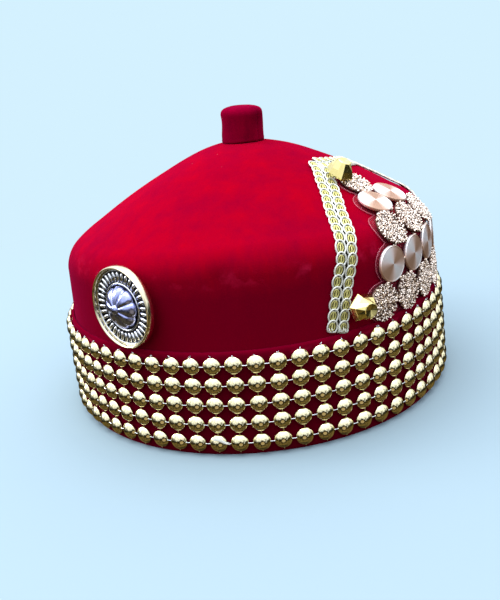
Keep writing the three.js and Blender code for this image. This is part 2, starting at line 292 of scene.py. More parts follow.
def velvet_finish(name, deep, bright, lint, fall=None):
    """Pile with soft patches, strokes and lint.

    Fall holds two heights. Between them the colour turns to a painted shade, darker below, with a band of
    painted sheen and rubbed nap where it turns.
    """
    made = Finish(name)
    patches = made.noise(0.02, 3, 0.6)
    stroked = made.node("Mapping", {}, {"Vector": made.place, "Scale": (1.0, 1.0, 0.35)})
    nap = made.noise(0.11, 5, 0.62, stroked)
    fibre = made.noise(1.8, 3, 0.7)
    shade = made.ramp(patches * 0.45 + nap * 0.4 + fibre * 0.15, [(0.35, deep), (0.65, bright)])
    if fall:
        # Painted shade: below the fall the colour goes towards 0.62 of the deep colour, for the shade on
        # the hanging wall and between the beads.
        height = made.axis(made.place, 2)
        painted_shade_height = (height - fall[0] * MM) / ((fall[1] - fall[0]) * MM) + (nap - 0.5) * 0.5
        painted_shade = made.ramp(painted_shade_height, [(0.0, grey(1)), (1.0, grey(0))])
        shade = made.mix(painted_shade * 0.85, shade, tuple(0.62 * c for c in deep) + (1,))
        # Painted sheen and rubbed nap: lighter pink patches in a band along the bend, where the painted
        # shade begins.
        crease_sheen_band = made.ramp(painted_shade_height, [(0.25, grey(0)), (0.5, grey(1)), (0.8, grey(0))])
        rubbed_nap_and_sheen = made.ramp(made.noise(0.06, 4, 0.7), [(0.52, grey(0)), (0.66, grey(1))])
        shade = made.mix(crease_sheen_band * rubbed_nap_and_sheen * 0.35, shade, (0.62, 0.015, 0.07, 1))
    cells = {"Vector": made.place, "Scale": 0.16 / MM, "Randomness": 1.0}
    near = made.node("TexVoronoi", inputs=cells)
    pick = made.node("SeparateColor", inputs={"Color": made.node("TexVoronoi", inputs=cells, output=1)})
    dots = made.ramp(near, [(0.02, grey(1)), (0.045, grey(0))])
    chosen = made.ramp(pick, [(0.84, grey(0)), (0.86, grey(1))])
    color = made.mix(dots * chosen * lint, shade, (0.6, 0.2, 0.25, 1))
    pile = made.bump(fibre * 0.4 + nap, 0.5, 0.4)
    return made.surface(
        Base_Color=color,
        Roughness=1.0,
        Normal=pile,
        Sheen_Weight=0.16,
        Sheen_Roughness=0.35,
        Sheen_Tint=(1.0, 0.04, 0.26, 1),
        Specular_IOR_Level=0.0,
    )


def metal_finish(name, color, dull, rough, wear=0.25, grain=0.5, metal=1.0):
    """Metal with cloudy wear and a fine unevenness."""
    made = Finish(name)
    cloud = made.noise(0.25, 4)
    fine = made.noise(grain, 3, 0.6)
    tone = made.mix(cloud * wear * 2, (*color, 1), (*dull, 1))
    return made.surface(
        Base_Color=tone,
        Metallic=metal,
        Roughness=rough + fine * 0.12,
        Normal=made.bump(fine, 0.05, 0.2),
    )


# Meshes


class Form:
    """Points and faces that grow into one mesh."""

    def __init__(self):
        self.points = []
        self.faces = []

    def add(self, points, faces):
        start = len(self.points)
        self.points.extend(map(tuple, points))
        self.faces.extend(tuple(start + i for i in face) for face in faces)

    def rings(self, rings, caps=(None, None), closed=False):
        """Rings of equal length, joined in turn, outside first from the top down."""
        count = len(rings[0])
        points = [p for ring in rings for p in ring]
        faces = []
        joins = len(rings) if closed else len(rings) - 1
        for i in range(joins):
            upper, lower = i * count, (i + 1) % len(rings) * count
            for j in range(count):
                k = (j + 1) % count
                faces.append((upper + j, lower + j, lower + k, upper + k))
        if not closed:
            last = (len(rings) - 1) * count
            for end, flip in ((0, False), (last, True)):
                pole = caps[1] if flip else caps[0]
                if pole is None:
                    loop = [end + j for j in range(count)]
                    faces.append(tuple(reversed(loop) if flip else loop))
                    continue
                points.append(tuple(pole))
                tip = len(points) - 1
                for j in range(count):
                    k = (j + 1) % count
                    faces.append((tip, end + k, end + j) if flip else (tip, end + j, end + k))
        self.add(points, faces)

    def lathe(self, profile, sides):
        """A profile of (radius, height) from the top middle down and back to the axis."""
        turns = [2 * math.pi * j / sides for j in range(sides)]
        inner = profile[1:-1]
        rings = [[(r * math.sin(a), -r * math.cos(a), h) for a in turns] for r, h in inner]
        self.rings(rings, ((0, 0, profile[0][1]), (0, 0, profile[-1][1])))

    def tube(self, path, radius, sides=8, closed=False, flat=1.0, up=None):
        """A round or flattened tube along a path of points."""
        path = [Vector(p) for p in path]
        rings = []
        count = len(path)
        lift = Vector(up) if up else None
        for i, point in enumerate(path):
            before = path[(i - 1) % count] if closed or i else path[0]
            after = path[(i + 1) % count] if closed or i + 1 < count else path[-1]
            along = (after - before).normalized()
            rise = lift or (Vector((0, 0, 1)) if abs(along.z) < 0.9 else Vector((1, 0, 0)))
            across = along.cross(rise).normalized()
            rise = across.cross(along)
            size = radius[i] if hasattr(radius, "__len__") else radius
            ring = []
            for j in range(sides):
                angle = 2 * math.pi * j / sides
                ring.append(point + across * math.cos(angle) * size + rise * math.sin(angle) * size * flat)
            rings.append([tuple(p) for p in reversed(ring)])
        self.rings(rings, closed=closed)

    def merge(self, other, matrix):
        self.add([tuple(matrix @ Vector(p)) for p in other.points], other.faces)

    def piece(self, name, material, slot, replaces=(), matrix=None, smooth=True, edge=None):
        mesh = bpy.data.meshes.new(name)
        mesh.from_pydata([tuple(c * MM for c in p) for p in self.points], [], self.faces)
        mesh.materials.append(material)
        mesh.polygons.foreach_set("use_smooth", [smooth] * len(mesh.polygons))
        mesh.validate()
        return place_piece(name, mesh, replaces, matrix, edge)


def place_piece(name, mesh, replaces=(), matrix=None, edge=None):
    made = bpy.data.objects.new(name, mesh)
    bpy.context.scene.collection.objects.link(made)
    if edge is not None:
        mesh.set_sharp_from_angle(angle=math.radians(edge))
    if matrix is not None:
        made.matrix_world = matrix
    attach(made, "root")
    if replaces:
        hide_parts(*replaces)
    return made


# The crown's surface


def oval_point(turn, half_length, half_width, height, forward=0.0):
    return (half_width * math.sin(turn), -half_length * math.cos(turn) - forward, height)


def roof_rise(share):
    top = math.hypot(1, PEAK_BLUNT)
    return (top - math.hypot(share, PEAK_BLUNT)) / (top - PEAK_BLUNT)


def ridge_height(turn):
    away = turn - SADDLE_TURN
    return RIDGE + SADDLE * math.sin(away) ** 2 + FRONT_RISE * max(0, math.cos(away)) ** 4


def crown_profile(turn, inset=0.0, shoulder_steps=24, roof_steps=60):
    """Points of the velvet, or of the lining at an inset, from the rim to the peak."""
    ridge = ridge_height(turn)
    radius = SHOULDER_RADIUS - inset
    stations = [(1.0, 0.0), (1.0, CUFF_HEIGHT)]
    for i in range(shoulder_steps + 1):
        bend = SHOULDER_BEND * i / shoulder_steps
        scale = 1 - TAPER_SHARE - radius / SHOULDER_SPREAD * (1 - math.cos(bend))
        stations.append((scale, ridge - SHOULDER_RADIUS + radius * math.sin(bend)))
    eaves_scale, eaves_height = stations[-1]
    peak = PEAK - inset
    for i in range(1, roof_steps + 1):
        share = 1 - i / roof_steps
        stations.append((eaves_scale * share, eaves_height + (peak - eaves_height) * roof_rise(share)))
    points = []
    for scale, height in stations:
        lean = min(max((height - ridge) / (peak - ridge), 0), 1) * PEAK_FORWARD
        half_length = scale * (HALF_LENGTH - inset)
        half_width = scale * (HALF_WIDTH - inset)
        points.append(oval_point(turn, half_length, half_width, height, lean))
    return np.array(points)


def climb_of(profile):
    steps = np.linalg.norm(np.diff(profile, axis=0), axis=1)
    return np.concatenate([[0.0], np.cumsum(steps)])


TABLE_TURNS = np.linspace(-math.pi, math.pi, 721)
TABLE_CLIMBS = np.arange(0, 190, 0.5)


def crown_table():
    rows = []
    for turn in TABLE_TURNS:
        profile = crown_profile(turn)
        climb = climb_of(profile)
        rows.append(np.stack([np.interp(TABLE_CLIMBS, climb, profile[:, axis]) for axis in range(3)], 1))
    return np.array(rows)


CROWN_TABLE = crown_table()


def crown_point(turn, climb):
    """The velvet's point at a turn from the front and a distance up the velvet from the rim."""
    a = (turn + math.pi) / (2 * math.pi) * (len(TABLE_TURNS) - 1)
    b = climb / (TABLE_CLIMBS[1] - TABLE_CLIMBS[0])
    i = min(max(int(a), 0), len(TABLE_TURNS) - 2)
    j = min(max(int(b), 0), len(TABLE_CLIMBS) - 2)
    u, v = a - i, b - j
    low = CROWN_TABLE[i, j] * (1 - v) + CROWN_TABLE[i, j + 1] * v
    high = CROWN_TABLE[i + 1, j] * (1 - v) + CROWN_TABLE[i + 1, j + 1] * v
    return Vector(low * (1 - u) + high * u)


def crown_frame(turn, climb):
    """The velvet's point, outward normal, direction upwards, and millimetres per radian."""
    step = 0.01
    point = crown_point(turn, climb)
    round_way = (crown_point(turn + step, climb) - crown_point(turn - step, climb)) / (2 * step)
    rise = crown_point(turn, climb + 0.75) - crown_point(turn, climb - 0.75)
    normal = round_way.cross(rise).normalized()
    rise = rise.normalized()
    return point, normal, rise, round_way.length


def lifted(turn, climb, lift):
    point, normal, _, _ = crown_frame(turn, climb)
    return point + normal * lift


def turn_across(side, climb):
    turn = 0.0
    for _ in range(6):
        turn = side / crown_frame(turn / 2, climb)[3]
    return turn


def patch_middle(climb):
    return PATCH_FOOT_SHIFT + PATCH_DRIFT * (climb - PATCH_FOOT_CLIMB)


def seat(turn, climb, lift, spin=0.0, tip=0.0, swing=0.0):
    """A matrix in metres that stands a piece on the velvet, with its own z along the normal.

    A tip lifts its lower edge, and a swing turns it away from its own right.
    """
    point, normal, rise, _ = crown_frame(turn, climb)
    side = rise.cross(normal).normalized()
    rise = normal.cross(side)
    turned = Matrix((side, rise, normal)).transposed().to_4x4()
    turned @= Matrix.Rotation(math.radians(-tip), 4, "X") @ Matrix.Rotation(math.radians(-swing), 4, "Y")
    where = Matrix.Translation((point + normal * lift) * MM)
    return where @ turned @ Matrix.Rotation(math.radians(spin), 4, "Z")


def patch_seat(side, climb, lift, spin=0.0, tip=0.0):
    return seat(turn_across(patch_middle(climb) + side, climb), climb, lift, spin, tip)


# Velvet pieces


def soft(point, size_mm, amount):
    """A smooth push in and out that gives cloth its unevenness."""
    return noise.noise(Vector(point) / size_mm) * amount


def build_crown(velvet):
    """The hollow crown: uneven velvet outside with one small dent, and a plain lining inside."""
    turns = [2 * math.pi * j / VELVET_STEPS - math.pi for j in range(VELVET_STEPS)]
    profiles = [crown_profile(turn, shoulder_steps=26, roof_steps=44) for turn in turns]
    inside = [crown_profile(turn, WALL, shoulder_steps=8, roof_steps=12) for turn in turns]
    dimple = crown_point(DIMPLE_TURN, DIMPLE_CLIMB)
    rings = []
    for i in range(len(profiles[0]) - 2, -1, -1):
        ring = []
        for turn, profile in zip(turns, profiles):
            point = Vector(profile[i])
            if i > 1:
                outward = Vector((point.x, point.y, max(point.z - 60, 0) * 1.2)).normalized()
                dent = DIMPLE_DEPTH * math.exp(-((point - dimple).length / DIMPLE_SPREAD) ** 2)
                point += outward * (soft(point, 38, 0.7) + soft(point, 13, 0.18) - dent)
            ring.append(tuple(point))
        rings.append(ring)
    rings += [[tuple(profile[i]) for profile in inside] for i in range(len(inside[0]) - 1)]
    form = Form()
    peak = oval_point(0, 0, 0, PEAK, PEAK_FORWARD)
    peak_inside = oval_point(0, 0, 0, PEAK - WALL, PEAK_FORWARD)
    form.rings(rings, (peak, peak_inside))
    form.piece("crown_velvet", velvet, "velvet", ["crown"])


def cuff_point(turn, height, out):
    draw = -CUFF_TAPER * (height - CUFF_MIDDLE) + out
    return oval_point(turn, CUFF_HALF_LENGTH + draw, CUFF_HALF_WIDTH + draw, height)


def build_cuff(velvet):
    """The band round the foot of the wall, with a rounded upper edge, closed behind against the crown."""
    turns = [2 * math.pi * j / VELVET_STEPS for j in range(VELVET_STEPS)]
    edge = [(CUFF_HEIGHT + up, out) for up, out in ((0.1, -0.9), (-0.2, -0.35), (-0.8, 0.0), (-2, 0.15))]
    body = [(CUFF_HEIGHT - 5 - 5.9 * i, 0.0) for i in range(8)]
    foot = [(2.6, 0.1), (1.2, 0.1), (0.4, -0.15), (0.0, -0.6)]
    rings = []
    for height, out in edge + body + foot:
        ring = []
        for turn in turns:
            point = cuff_point(turn, height, out)
            sway = soft(point, 16, 0.25) if height < CUFF_HEIGHT - 4 and height > 1 else 0
            ring.append(cuff_point(turn, height, out + sway))
        rings.append(ring)
    for height in (0.0, 3.0, CUFF_HEIGHT - 2, CUFF_HEIGHT):
        rings.append([oval_point(turn, HALF_LENGTH + GAP, HALF_WIDTH + GAP, height) for turn in turns])
    form = Form()
    form.rings(rings, closed=True)
    form.piece("cuff_velvet_painted_shade", velvet, "velvet", ["cuff"])


def top_height(x, y):
    """The height of the velvet near the peak, above a point of the plan."""
    turn = math.atan2(x / HALF_WIDTH, -(y + PEAK_FORWARD) / HALF_LENGTH)
    profile = crown_profile(turn)[ROOF_START:]
    away = np.hypot(profile[:, 0], profile[:, 1] + PEAK_FORWARD)
    return float(np.interp(math.hypot(x, y + PEAK_FORWARD), away[::-1], profile[::-1, 2]))


def build_stalk(velvet):
    """The padded stub on the peak, with a seam down its side. Its foot follows the roof."""
    around = 140
    top = [(0.3, 1.02), (0.55, 1.01), (0.72, 0.985), (0.84, 0.955)]
    top += [(0.92, 0.92), (0.97, 0.875), (0.995, 0.82)]
    waist = [(1.0 - 0.018 * math.sin(math.pi * i / 14), 0.78 - 0.7 * i / 14) for i in range(15)]
    foot = [(1.015, 0.04), (1.005, 0.0), (0.96, 0.0), (0.55, 0.0)]
    rings = []
    for share, rise in top + waist + foot:
        ring = []
        for j in range(around):
            turn = 2 * math.pi * j / around
            off = math.atan2(math.sin(turn - STALK_SEAM), math.cos(turn - STALK_SEAM))
            groove = 0.6 * math.exp(-((off / 0.045) ** 2)) - 0.3 * math.exp(-(((off + 0.12) / 0.08) ** 2))
            puff = soft((math.sin(turn) * 12, math.cos(turn) * 12, rise * 16), 7, 0.35)
            reach = STALK_RADIUS * share - (groove - puff) * min(share * 1.2, 1)
            lean = STALK_FORWARD + STALK_LEAN * rise
            droop = STALK_DROOP * reach * math.cos(turn - STALK_DROOP_TURN) * rise ** 4
            x, y, z = oval_point(turn, reach, reach, PEAK + STALK_HEIGHT * rise - droop, lean)
            x += STALK_ASIDE
            roof = top_height(x, y) + GAP
            ring.append((x, y, roof if rise == 0 else max(z, roof + 0.2)))
        rings.append(ring)
    form = Form()
    tip = (STALK_ASIDE, -STALK_FORWARD - STALK_LEAN, PEAK + STALK_HEIGHT * 1.04)
    under = (STALK_ASIDE, -STALK_FORWARD, top_height(STALK_ASIDE, -STALK_FORWARD) + GAP)
    form.rings(rings, (tip, under))
    stalk = form.piece("stalk_velvet", velvet, "velvet", ["stalk"])


# Bead rows


def oval_turns():
    """Turns at even distances round the bead rows, as a function of the distance from the near side."""
    fine = np.linspace(-math.pi / 2, 3 * math.pi / 2, 2001)
    x = (CUFF_HALF_WIDTH + 1.5) * np.sin(fine)
    y = -(CUFF_HALF_LENGTH + 1.5) * np.cos(fine)
    run = np.concatenate([[0], np.cumsum(np.hypot(np.diff(x), np.diff(y)))])
    return lambda share: float(np.interp(share % 1.0 * run[-1], run, fine))


TURN_AT = oval_turns()


def cuff_seat(turn, height, out):
    """A matrix in millimetres at the cuff's surface, with z outward and y up."""
    point = Vector(cuff_point(turn, height, out))
    ahead = Vector(cuff_point(turn + 0.01, height, out))
    above = Vector(cuff_point(turn, height + 1, out))
    side = (ahead - point).normalized()
    rise = (above - point).normalized()
    normal = side.cross(rise).normalized()
    return Matrix.Translation(point) @ Matrix((side, normal.cross(side), normal)).transposed().to_4x4()


def bead_shape():
    """A shallow dome, part of a ball, on an edge that runs in towards the cloth."""
    steps = 12
    ball = BEAD_RADIUS / math.sin(BEAD_SLOPE)
    low = BEAD_DEPTH - ball * (1 - math.cos(BEAD_SLOPE))
    dome = [(0.0, BEAD_DEPTH)]
    for i in range(1, steps + 1):
        angle = BEAD_SLOPE * i / steps
        dome.append((ball * math.sin(angle), low + ball * (math.cos(angle) - math.cos(BEAD_SLOPE))))
    dome += [(BEAD_RADIUS + 0.06, low - 0.12), (BEAD_RADIUS, low - 0.3)]
    dome += [(BEAD_RADIUS - 0.6, 0.0), (0.0, 0.0)]
    form = Form()
    form.lathe(dome, BEAD_SIDES)
    return form


def build_bead_rows(gold, silver, post_gold):
    """Rows of beads with links between them, posts down to the next row, and tufts over the top row."""
    bead = bead_shape()
    for row in range(BEAD_ROWS):
        height = CUFF_MIDDLE + BEAD_ROW_PITCH * ((BEAD_ROWS - 1) / 2 - row)
        slip = BEAD_START - BEAD_ROW_SLIP * (row - 2)
        beads, links, posts = Form(), Form(), Form()
        seats = []
        for n in range(BEADS_ROUND):
            turn = TURN_AT((n + slip + random.uniform(-0.02, 0.02)) / BEADS_ROUND)
            seats.append((turn, height + random.uniform(-0.15, 0.15)))
        for n, (turn, level) in enumerate(seats):
            tilt = Matrix.Rotation(random.uniform(-0.05, 0.05), 4, "X")
            tilt = tilt @ Matrix.Rotation(random.uniform(-0.05, 0.05), 4, "Y")
            beads.merge(bead, cuff_seat(turn, level, GAP) @ tilt)
            after_turn, after_level = seats[(n + 1) % BEADS_ROUND]
            if after_turn < turn:
                after_turn += 2 * math.pi
            path = [
                cuff_point(turn + (after_turn - turn) * s, level + (after_level - level) * s, LINK_LIFT)
                for s in (0.34, 0.42, 0.5, 0.58, 0.66)
            ]
            links.tube(path, [0.26, 0.32, 0.26, 0.32, 0.26], 8)
            outward = (math.sin(turn), -math.cos(turn), 0)
            drops = (3.9, 4.5, BEAD_ROW_PITCH - 4.5, BEAD_ROW_PITCH - 3.9)
            sizes = [0.34, 0.28, 0.28, 0.34]
            if row == BEAD_ROWS - 1:
                drops = (3.9, 4.5, 4.8)
                sizes = [0.34, 0.3, 0.2]
            posts.tube([cuff_point(turn, level - d, POST_LIFT) for d in drops], sizes, 7, up=outward)
            if row == 0:
                for _ in range(3):
                    lean = random.uniform(-0.008, 0.008)
                    tall = random.uniform(4.8, 5.4)
                    steps = ((0, 4.0), (lean * 0.5, 4.5), (lean, tall))
                    rod = [cuff_point(turn + t, level + d, random.uniform(1.0, 2.0)) for t, d in steps]
                    links.tube(rod, [0.2, 0.16, 0.1], 5, up=outward)
        beads.piece(f"beads_{row + 1}", gold, "bead_gold", [f"bead_row_{row + 1}"], edge=50)
        links.piece(f"bead_links_{row + 1}", silver, "silver")
        posts.piece(f"bead_posts_{row + 1}", post_gold, "bead_gold")


# Braid


def spline(points, share):
    """A point of the braid's route, by the same curve as the frame's strap."""
    spans = len(points) - 1
    at = min(share * spans, spans - 1e-9)
    i = int(at)
    t = at - i
    p1, p2 = points[i], points[i + 1]
    p0 = points[i - 1] if i else 2 * p1 - p2
    p3 = points[i + 2] if i + 2 <= spans else 2 * p2 - p1
    m1, m2 = 0.3 * (p2 - p0), 0.3 * (p3 - p1)
    a = 2 * p1 - 2 * p2 + m1 + m2
    b = -3 * p1 + 3 * p2 - 2 * m1 - m2
    return a * t ** 3 + b * t ** 2 + m1 * t + p1


def braid_place(share, across, mirror):
    """Turn and climb at a share of a leg and a distance to its outer side."""
    points = []
    for stop in BRAID_ROUTE:
        degrees = stop["degrees"] + (stop["wider"] if mirror < 0 else 0)
        points.append(np.array([-math.radians(degrees), stop["climb"]]))
    here, ahead = spline(points, share), spline(points, min(share + 0.004, 1.0))
    if share > 0.995:
        here, ahead = spline(points, share - 0.004), spline(points, share)
    per_radian = crown_frame(here[0], here[1])[3]
    course = np.array([(ahead[0] - here[0]) * per_radian, ahead[1] - here[1]])
    course /= np.linalg.norm(course)
    turn = here[0] - across * course[1] / per_radian
    climb = here[1] + across * course[0]
    middle = turn_across(patch_middle(climb), climb)
    return middle + mirror * turn, climb


def braid_run(mirror):
    """The length of a leg, and its share at a distance from the cuff."""
    shares = np.linspace(0, 1, 161)
    points = np.array([lifted(*braid_place(s, 0, mirror), 1) for s in shares])
    run = climb_of(points)
    return run[-1], lambda distance: float(np.interp(distance, run, shares))


def braid_point(share_at, distance, across, lift, mirror):
    return tuple(lifted(*braid_place(share_at(distance), across, mirror), lift))


def braid_ring(share_at, middle, pitch, length, side, form, steps, stretch, swell, press=0.0):
    """One closed loop of thread, that lies on the velvet round a point of the braid's column."""
    mirror, column, wobble = side
    ring = []
    for j in range(steps):
        angle = 2 * math.pi * j / steps
        out = column * (form["across"] + form["half"] * math.cos(angle)) + wobble
        along = min(max(middle + pitch * stretch * math.sin(angle), 0.2), length - 0.2)
        lift = form["lift"] + press + swell * math.sin(angle)
        ring.append(braid_point(share_at, along, out, lift, mirror))
    return ring


def build_braid(thread, core, backing):
    """Two legs, each with two columns of thread loops over yellow cores, on a dark ground."""
    for mirror, name in ((1, "near"), (-1, "far")):
        length, share_at = braid_run(mirror)
        loops, cores, base = Form(), Form(), Form()
        press = 0.0 if mirror > 0 else -0.3
        count = round(length / BRAID_PITCH)
        pitch = length / count
        for n in range(count):
            middle = (n + 0.5) * pitch
            for column in (-1, 1):
                normal = crown_frame(*braid_place(share_at(middle), column * BRAID_COLUMN, mirror))[1]
                wobble = random.uniform(-0.15, 0.15)
                spot = (share_at, middle, pitch, length, (mirror, column, wobble))
                outer = braid_ring(*spot, BRAID_LOOP, 24, 0.62, 0.3, press)
                loops.tube(outer, BRAID_LOOP["thread"], 7, closed=True, up=normal)
                inner = braid_ring(*spot, BRAID_CORE, 18, 0.36, 0.2)
                cores.tube(inner, BRAID_CORE["thread"], 6, closed=True, up=normal)
                rod = []
                for j in range(5):
                    along = min(max(middle + pitch * (j / 4 - 0.5) * 0.9, 0.2), length - 0.2)
                    out = column * BRAID_CORE["across"] + wobble
                    rod.append(braid_point(share_at, along, out, 1.1, mirror))
                cores.tube(rod, [0.25, 0.4, 0.5, 0.4, 0.25], 7, up=normal)
        grid = []
        for i in range(71):
            share = i / 70
            grid.append([braid_place(share, w, mirror) for w in (-4.4, -2.2, 0, 2.2, 4.4)])
        add_sheet(base, grid, 0.35, 0.6, mirror < 0)
        loops.piece(f"braid_loops_{name}", thread, "braid_thread", [f"braid_{name}"])
        cores.piece(f"braid_cores_{name}", core, "bead_gold")
        base.piece(f"braid_ground_{name}", backing, "braid_thread")


def build_loose_threads(silver):
    """Frayed ends at the foot of the near leg, and a thread caught on the lowest beads."""
    _, share_at = braid_run(1)
    frayed = Form()
    for _ in range(12):
        across = random.uniform(-5.0, 5.0)
        drift = random.uniform(-1.4, 1.4)
        start = random.uniform(1.5, 3.5)
        strand = []
        for t in (0.0, 0.35, 0.7, 1.0):
            curl = 1.8 + 0.9 * math.sin(math.pi * t)
            strand.append(braid_point(share_at, start * (1 - t) + 0.2, across + drift * t * t, curl, 1))
        frayed.tube(strand, [0.2, 0.22, 0.2, 0.12], 6)
    frayed.piece("braid_frayed_ends", silver, "silver")
    caught = Form()
    for shift in (0.0, 0.45):
        strand = []
        for t in (0.0, 0.2, 0.4, 0.6, 0.8, 1.0):
            turn = math.radians(CAUGHT_THREAD["degrees"] + CAUGHT_THREAD["run"] * t)
            height = CAUGHT_THREAD["height"] - shift - CAUGHT_THREAD["fall"] * t + 0.35 * math.sin(7 * t)
            strand.append(cuff_point(turn, height, 4.0 - 0.9 * math.sin(math.pi * t) + shift * 0.3))
        caught.tube(strand, [0.2, 0.4, 0.55, 0.5, 0.36, 0.18], 7)
    caught.piece("caught_thread", silver, "silver")


def add_sheet(form, grid, low, high, flip=False):
    """A closed sheet laid on the velvet over a grid of places."""
    rows, columns = len(grid), len(grid[0])
    places = [place for row in grid for place in (reversed(row) if flip else row)]
    points = [tuple(lifted(turn, climb, lift)) for lift in (high, low) for turn, climb in places]
    under = rows * columns
    faces = []
    for i in range(rows - 1):
        for j in range(columns - 1):
            a, b = i * columns + j, i * columns + j + 1
            faces.append((b, a, a + columns, b + columns))
            faces.append((under + a, under + b, under + b + columns, under + a + columns))
        a, b = i * columns, (i + 1) * columns - 1
        faces.append((a, under + a, under + a + columns, a + columns))
        faces.append((b + columns, under + b + columns, under + b, b))
    for j in range(columns - 1):
        a, b = j, (rows - 1) * columns + j
        faces.append((a, a + 1, under + a + 1, under + a))
        faces.append((b + 1, b, under + b, under + b + 1))
    form.add(points, faces)


# Disc patch


def disc_places():
    for row, spec in enumerate(DISC_ROWS):
        for n in range(spec["count"]):
            side = spec["shift"] + DISC_PITCH * (n - (spec["count"] - 1) / 2)
            yield row, n, side, spec["climb"], spec["smooth"], spec["tip"]


def satin_shape():
    """A domed disc with fine turned grooves and a plain rim."""
    profile = [(0.0, DISC_THICK)]
    for i in range(1, DISC_GROOVES + 1):
        r = GROOVES_REACH * i / DISC_GROOVES
        height = DISC_THICK - DISC_DOME * (r / DISC_RADIUS) ** 2
        profile.append((r - 0.148, height + 0.04))
        profile.append((r, height - 0.04))
    profile += [(8.0, 1.6), (8.25, 1.62), (8.5, 1.35), (8.55, 0.9), (8.5, 0.3), (8.3, 0.0), (0.0, 0.0)]
    form = Form()
    form.lathe(profile, 64)
    return form


def build_discs(satin, glitter, painted_shade_bed):
    """The smooth discs share one mesh. Each granular disc has grains of its own on a dark bed, painted
    shade for the gaps between the grains.
    """
    smooth_form = satin_shape()
    smooth_mesh = None
    for row, n, side, climb, smooth, tip in disc_places():
        name = f"disc_{row + 1}_{n + 1}"
        lift = FILM_HIGH + GAP + DISC_RADIUS * math.sin(math.radians(tip))
        where = patch_seat(side, climb, lift, random.uniform(-8, 8), tip)
        if smooth:
            if smooth_mesh is None:
                first = smooth_form.piece(f"satin_{name}", satin, "disc_satin", [name], where)
                smooth_mesh = first.data
            else:
                place_piece(f"satin_{name}", smooth_mesh, [name], where)
        else:
            grains = grain_field(row * 10 + n)
            grains.piece(f"glitter_{name}", glitter, "disc_glitter", [name], where, smooth=False)
            # A dark bed under the grains: painted shade in the gaps between them.
            back = Form()
            back.lathe([(0.0, 1.1), (8.2, 1.0), (8.6, 0.7), (8.6, 0.2), (8.3, 0.0), (0.0, 0.0)], 40)
            back.piece(f"glitter_painted_shade_bed_{name}", painted_shade_bed, "disc_glitter", matrix=where)


def grain_field(seed):
    """Small rough grains packed over a disc in a sunflower order."""
    draw = random.Random(seed)
    form = Form()
    for i in range(GRAINS):
        r = GRAINS_REACH * math.sqrt((i + 0.5) / GRAINS)
        angle = i * GOLDEN_TURN + draw.uniform(-0.1, 0.1)
        size = draw.uniform(0.42, 0.62)
        centre = Vector((r * math.cos(angle), r * math.sin(angle), 1.2 + draw.uniform(-0.15, 0.35)))
        turn = Matrix.Rotation(draw.uniform(0, 6.28), 4, "Z")
        turn = turn @ Matrix.Rotation(draw.uniform(0, 3.14), 4, "X")
        points, faces = grain_shape(draw)
        form.add([tuple(centre + (turn @ Vector(p)) * size) for p in points], faces)
    return form


def grain_shape(draw):
    """Points and faces of a grain: two tips and a crooked ring of five points."""
    points = [(0, 0, 1.0), (0, 0, -0.8)]
    faces = []
    for k in range(5):
        angle = math.tau * k / 5
        x = math.cos(angle) * draw.uniform(0.8, 1.15)
        y = math.sin(angle) * draw.uniform(0.8, 1.15)
        points.append((x, y, draw.uniform(-0.3, 0.3)))
        faces += [(0, 2 + k, 2 + (k + 1) % 5), (1, 2 + (k + 1) % 5, 2 + k)]
    return points, faces


def film_half(climb):
    """Half the film's width: the discs' outline and a small margin."""
    best = 1.5
    for _, _, side, level, _, _ in disc_places():
        reach = (DISC_RADIUS + FILM_MARGIN) ** 2 - (climb - level) ** 2
        if reach > 0:
            best = max(best, abs(side) + math.sqrt(reach))
    return min(best, FILM_WIDEST)


def build_film(film, edge_film):
    """The clear sheet under the discs, and a thin cord along its edge."""
    rows = 100
    grid, left, right = [], [], []
    for i in range(rows + 1):
        climb = FILM_FOOT + (FILM_TOP - FILM_FOOT) * i / rows
        half = film_half(climb)
        line = []
        for j in range(25):
            side = half * (j / 12 - 1)
            line.append((turn_across(patch_middle(climb) + side, climb), climb))
        grid.append(line)
        left.append(tuple(lifted(*line[0], 0.85)))
        right.append(tuple(lifted(*line[-1], 0.85)))
    form = Form()
    add_sheet(form, grid, FILM_LOW, FILM_HIGH)
    form.piece("film_sheet", film, "clear_film", ["patch_film"])
    rim = Form()
    rim.tube(left + right[::-1], 0.22, 6)
    rim.piece("film_edge", edge_film, "clear_film")


def build_prongs(gold):
    """Small round bridges where neighbouring discs meet, all in one piece in the cap's own millimetres."""
    spots = {(row, n): (side, climb) for row, n, side, climb, _, _ in disc_places()}
    pip = Form()
    pip.lathe([(0.0, 1.9), (0.6, 1.7), (1.0, 1.1), (1.05, 0.4), (0.9, 0.0), (0.0, 0.0)], 10)
    form = Form()
    for (row, n), (side, climb) in spots.items():
        for other in ((row, n + 1), (row + 1, n), (row + 1, n - 1)):
            if other in spots:
                far_side, far_climb = spots[other]
                where = patch_seat((side + far_side) / 2, (climb + far_climb) / 2, 1.2)
                form.merge(pip, Matrix.Scale(1 / MM, 4) @ where @ Matrix.Scale(MM, 4))
    form.piece("disc_prongs", gold, "stud_gold")


# Studs


def build_nuggets(gold):
    """Faceted studs, six-sided below and round on top. The near one shows the post under it."""
    for spec in NUGGETS:
        form = Form()
        rings = []
        for level in STUD_LEVELS:
            ring = []
            for j in range(12):
                angle = math.tau * j / 12
                reach = level["radius"] * spec["size"]
                if level["sides"] == 6 and j % 2:
                    reach *= math.cos(math.pi / 6) * 0.995
                height = STUD_FOOT + level["height"]
                ring.append((reach * math.sin(angle), -reach * math.cos(angle), height))
            rings.append(ring)
        form.rings(rings, ((0, 0, STUD_FOOT + 7.6), (0, 0, STUD_FOOT)))
        where = patch_seat(spec["side"], spec["climb"], FILM_HIGH + GAP, spec["spin"])
        form.piece(spec["name"] + "_stud", gold, "stud_gold", [spec["name"]], where, smooth=False)
        if spec["name"] == "nugget_near":
            shank = Form()
            shank.lathe([(0.0, STUD_FOOT + 0.2), (3.4, STUD_FOOT + 0.2), (3.4, 0.0), (0.0, 0.0)], 24)
            shank.piece(spec["name"] + "_shank", gold, "stud_gold", matrix=where, edge=30)


# Side ornament


